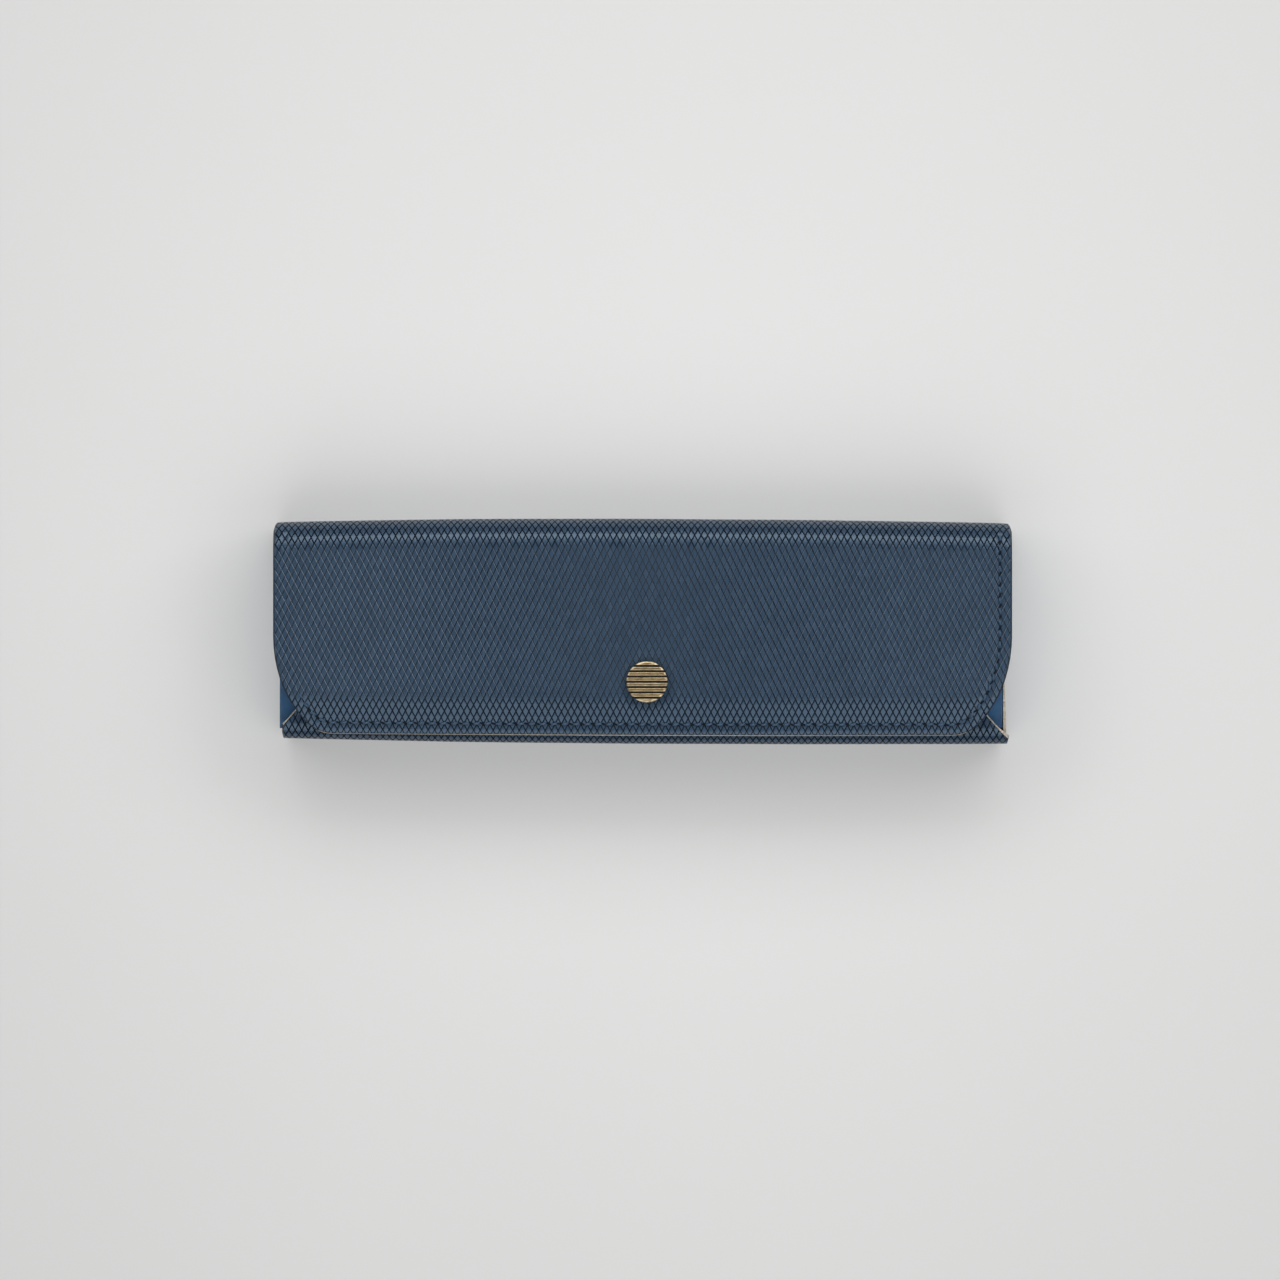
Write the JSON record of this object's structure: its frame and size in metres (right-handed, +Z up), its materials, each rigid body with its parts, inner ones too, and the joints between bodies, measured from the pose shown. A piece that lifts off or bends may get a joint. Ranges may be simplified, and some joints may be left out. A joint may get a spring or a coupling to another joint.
{
  "type": "pen case",
  "caption": "Slim box-shaped leather case for pens: an embossed wrap with a snap-down flap, a tuck-in front panel, end wings and inner dividers.",
  "frame": {"origin": "middle of the underside of the closed case", "axes": "+X along the pens, +Y towards the spine that the flap folds on, +Z up through the flap"},
  "size_m": [0.17, 0.0512, 0.0266],
  "materials": {
    "embossed_leather": "lozenge-embossed, waxed, satin",
    "smooth_leather": "smooth, satin",
    "lining_suede": "fine suede, matt",
    "leatherboard": "bonded leather board, matt",
    "antique_brass": "antiqued, brushed",
    "sewing_thread": "waxed twisted thread"
  },
  "bodies": {
    "case": {"body_wrap": "embossed_leather", "spine_board": "leatherboard", "floor_board": "leatherboard", "front_board": "leatherboard", "case_lining": "lining_suede", "left_gusset": "smooth_leather", "right_gusset": "smooth_leather", "left_end_lining": "lining_suede", "right_end_lining": "lining_suede", "front_divider": "lining_suede", "back_divider": "lining_suede"},
    "flap": {"flap_leather": "embossed_leather", "flap_board": "leatherboard", "flap_lining": "lining_suede", "snap_cap": "antique_brass", "snap_socket": "antique_brass"},
    "front_panel": {"panel_leather": "embossed_leather", "panel_board": "leatherboard", "panel_lining": "lining_suede", "snap_stud": "antique_brass", "stud_rivet": "antique_brass"}
  },
  "joints": [
    {"name": "flap_fold", "type": "hinge", "parent": "case", "child": "flap", "pos_m": [0, 0.0241, 0.0235], "axis": [-1, 0, 0], "range_deg": [0, 205]},
    {"name": "front_panel_fold", "type": "hinge", "parent": "case", "child": "front_panel", "pos_m": [0, -0.02474, 0.02015], "axis": [1, 0, 0], "range_deg": [0, 120]}
  ],
  "couplings": [
    {"joint": "front_panel_fold", "follows": "flap_fold", "ratio": 0.585}
  ]
}
